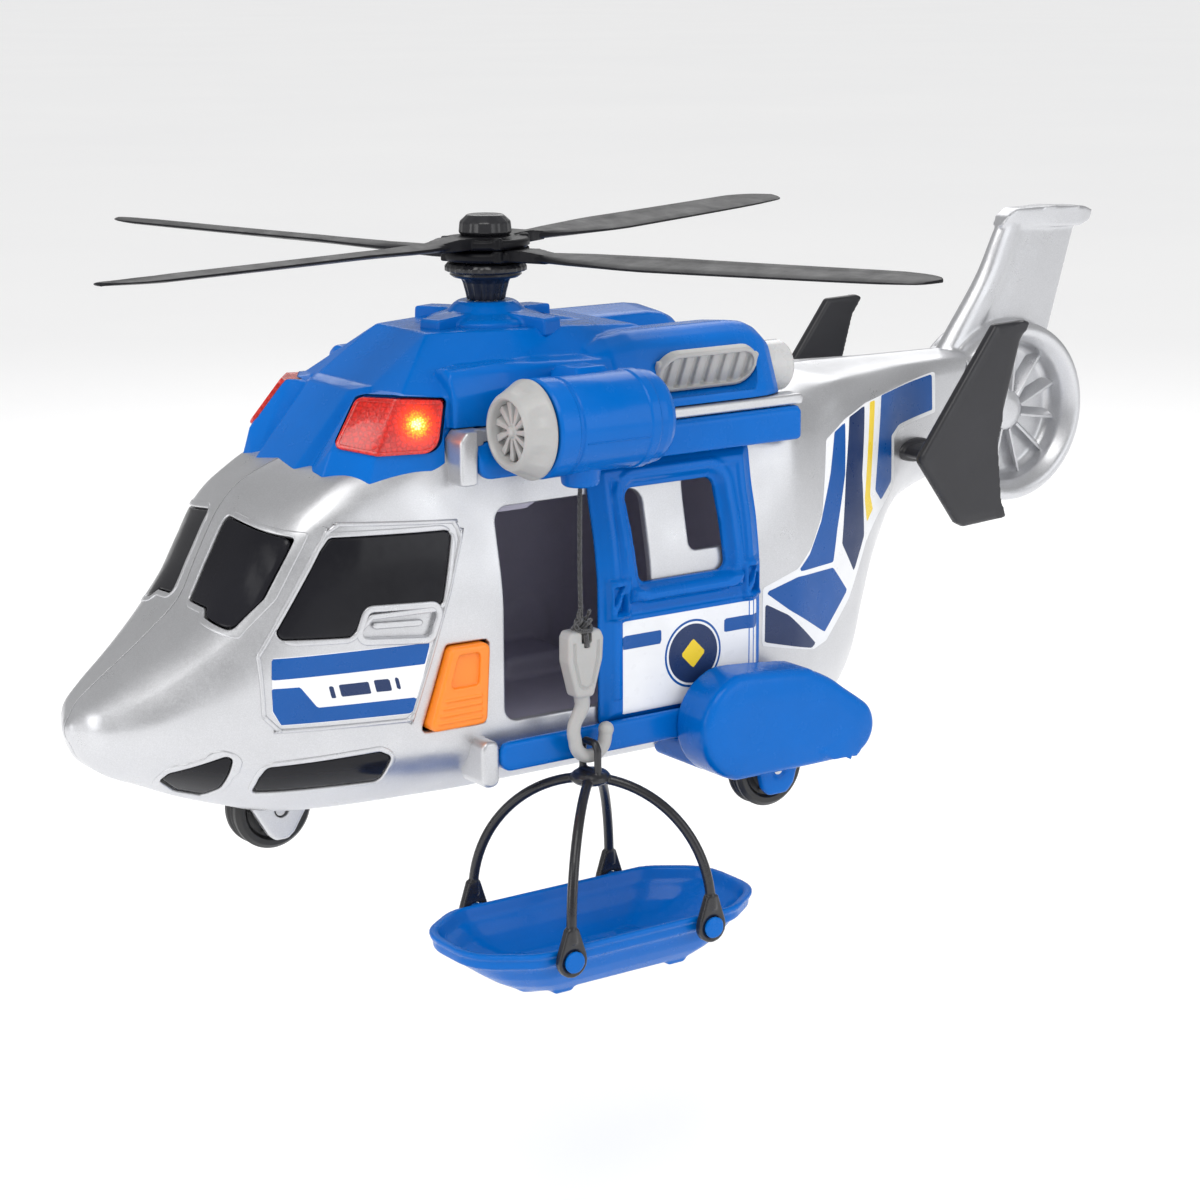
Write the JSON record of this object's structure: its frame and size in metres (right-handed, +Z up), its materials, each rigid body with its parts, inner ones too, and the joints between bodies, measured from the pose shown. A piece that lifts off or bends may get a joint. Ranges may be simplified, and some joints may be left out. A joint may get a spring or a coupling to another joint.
{
  "type": "toy rescue helicopter",
  "caption": "Toy rescue helicopter on three wheels, with a turning rotor, sliding cabin door, push button, and a roof winch that carries a stretcher on a hook and harness.",
  "frame": {"origin": "on the cabin floor, straight below the main rotor's axis; the wheels stand on the plane 33.2 mm below it", "axes": "+X towards the nose, +Y towards the port side that carries the winch, +Z up along the rotor's axis"},
  "size_m": [0.3987, 0.2962, 0.2193],
  "materials": {
    "silver_paint": "satin silver metallic paint",
    "blue_plastic": "glossy moulded blue",
    "black_plastic": "semi-gloss moulded black",
    "dark_window": "glossy black panes",
    "red_lens": "clear red lenses",
    "orange_plastic": "satin orange",
    "dark_grey_plastic": "satin dark grey",
    "grey_plastic": "satin warm grey",
    "clear_nozzle": "silver nozzles",
    "tyre_rubber": "hard black wheels in one moulding",
    "steel": "bright steel",
    "black_cord": "braided cord",
    "circuit_board": "green lacquered board",
    "cell_jacket": "plain sleeved cells",
    "white_plastic": "natural acetal"
  },
  "bodies": {
    "airframe": {"battery_box": "black_plastic", "battery_door": "silver_paint", "battery_port": "cell_jacket", "battery_starboard": "cell_jacket", "button_spring": "steel", "cabin_tub": "dark_grey_plastic", "case_screw_front": "steel", "case_screw_rear": "steel", "chin_window_port": "dark_window", "chin_window_starboard": "dark_window", "circuit_board": "circuit_board", "cockpit_window_port": "dark_window", "cockpit_window_starboard": "dark_window", "exhaust_nozzle_port": "clear_nozzle", "exhaust_nozzle_starboard": "clear_nozzle", "fuselage_port": "silver_paint", "fuselage_starboard": "silver_paint", "led_port": "red_lens", "led_starboard": "red_lens", "lens_port": "red_lens", "lens_starboard": "red_lens", "lower_rail_port": "blue_plastic", "lower_window_port": "dark_window", "lower_window_starboard": "dark_window", "nose_axle": "steel", "nose_fork": "silver_paint", "rear_axle_port": "steel", "rear_axle_starboard": "steel", "roof_cowl": "blue_plastic", "rotor_bush": "white_plastic", "side_panel_starboard": "blue_plastic", "speaker": "dark_grey_plastic", "sponson_port": "blue_plastic", "sponson_starboard": "blue_plastic", "stabiliser_port": "black_plastic", "stabiliser_starboard": "black_plastic", "tail_fin": "silver_paint", "tail_light": "clear_nozzle", "upper_rail_port": "blue_plastic", "vent_grille_port": "grey_plastic", "vent_grille_starboard": "grey_plastic", "winch_housing": "blue_plastic", "windscreen_port": "dark_window", "windscreen_starboard": "dark_window"},
    "rotor": {"rotor_blades_lower": "black_plastic", "rotor_blades_upper": "black_plastic", "rotor_cap": "black_plastic", "rotor_collar": "black_plastic", "rotor_shaft": "steel"},
    "door": {"sliding_door": "blue_plastic"},
    "button": {"push_button": "orange_plastic"},
    "winch": {"winch_knob": "grey_plastic", "winch_drum": "white_plastic"},
    "cord": {"winch_cord": "black_cord"},
    "hook": {"hook": "grey_plastic"},
    "stretcher": {"harness": "black_plastic", "stretcher": "blue_plastic"},
    "nose_wheel": {"nose_wheel": "tyre_rubber"},
    "rear_wheel_port": {"rear_wheel_port": "tyre_rubber"},
    "rear_wheel_starboard": {"rear_wheel_starboard": "tyre_rubber"}
  },
  "joints": [
    {"name": "main_rotor_spin", "type": "hinge", "parent": "airframe", "child": "rotor", "pos_m": [0, 0, 0.1384], "axis": [0, 0, 1], "continuous": true},
    {"name": "door_slide", "type": "slide", "parent": "airframe", "child": "door", "axis": [1, 0, 0], "range_m": [0, 0.035]},
    {"name": "button_press", "type": "slide", "parent": "airframe", "child": "button", "axis": [0, -1, 0], "range_m": [0, 0.002], "stiffness_N_per_m": 150},
    {"name": "winch_knob_turn", "type": "hinge", "parent": "airframe", "child": "winch", "pos_m": [0, 0.055, 0.0933], "axis": [1, 0, 0], "range_deg": [-700, 40]},
    {"name": "cord_sway", "type": "hinge", "parent": "airframe", "child": "cord", "pos_m": [0.004, 0.055, 0.0772], "axis": [1, 0, 0], "range_deg": [0, 20]},
    {"name": "hook_lift", "type": "slide", "parent": "cord", "child": "hook", "axis": [0, 0, 1], "range_m": [-0.06, 0.002], "deforming": ["winch_cord"]},
    {"name": "stretcher_swing", "type": "hinge", "parent": "hook", "child": "stretcher", "pos_m": [0.001, 0.055, -0.0038], "axis": [0, -1, 0], "range_deg": [-12, 12]},
    {"name": "nose_wheel_spin", "type": "hinge", "parent": "airframe", "child": "nose_wheel", "pos_m": [0.079, 0, -0.0206], "axis": [0, 1, 0], "continuous": true},
    {"name": "rear_wheel_port_spin", "type": "hinge", "parent": "airframe", "child": "rear_wheel_port", "pos_m": [-0.0655, 0.0536, -0.0206], "axis": [0, 1, 0], "continuous": true},
    {"name": "rear_wheel_starboard_spin", "type": "hinge", "parent": "airframe", "child": "rear_wheel_starboard", "pos_m": [-0.0655, -0.0536, -0.0206], "axis": [0, 1, 0], "continuous": true}
  ],
  "couplings": [
    {"joint": "winch_knob_turn", "follows": "hook_lift", "rad_per_m": 200}
  ]
}
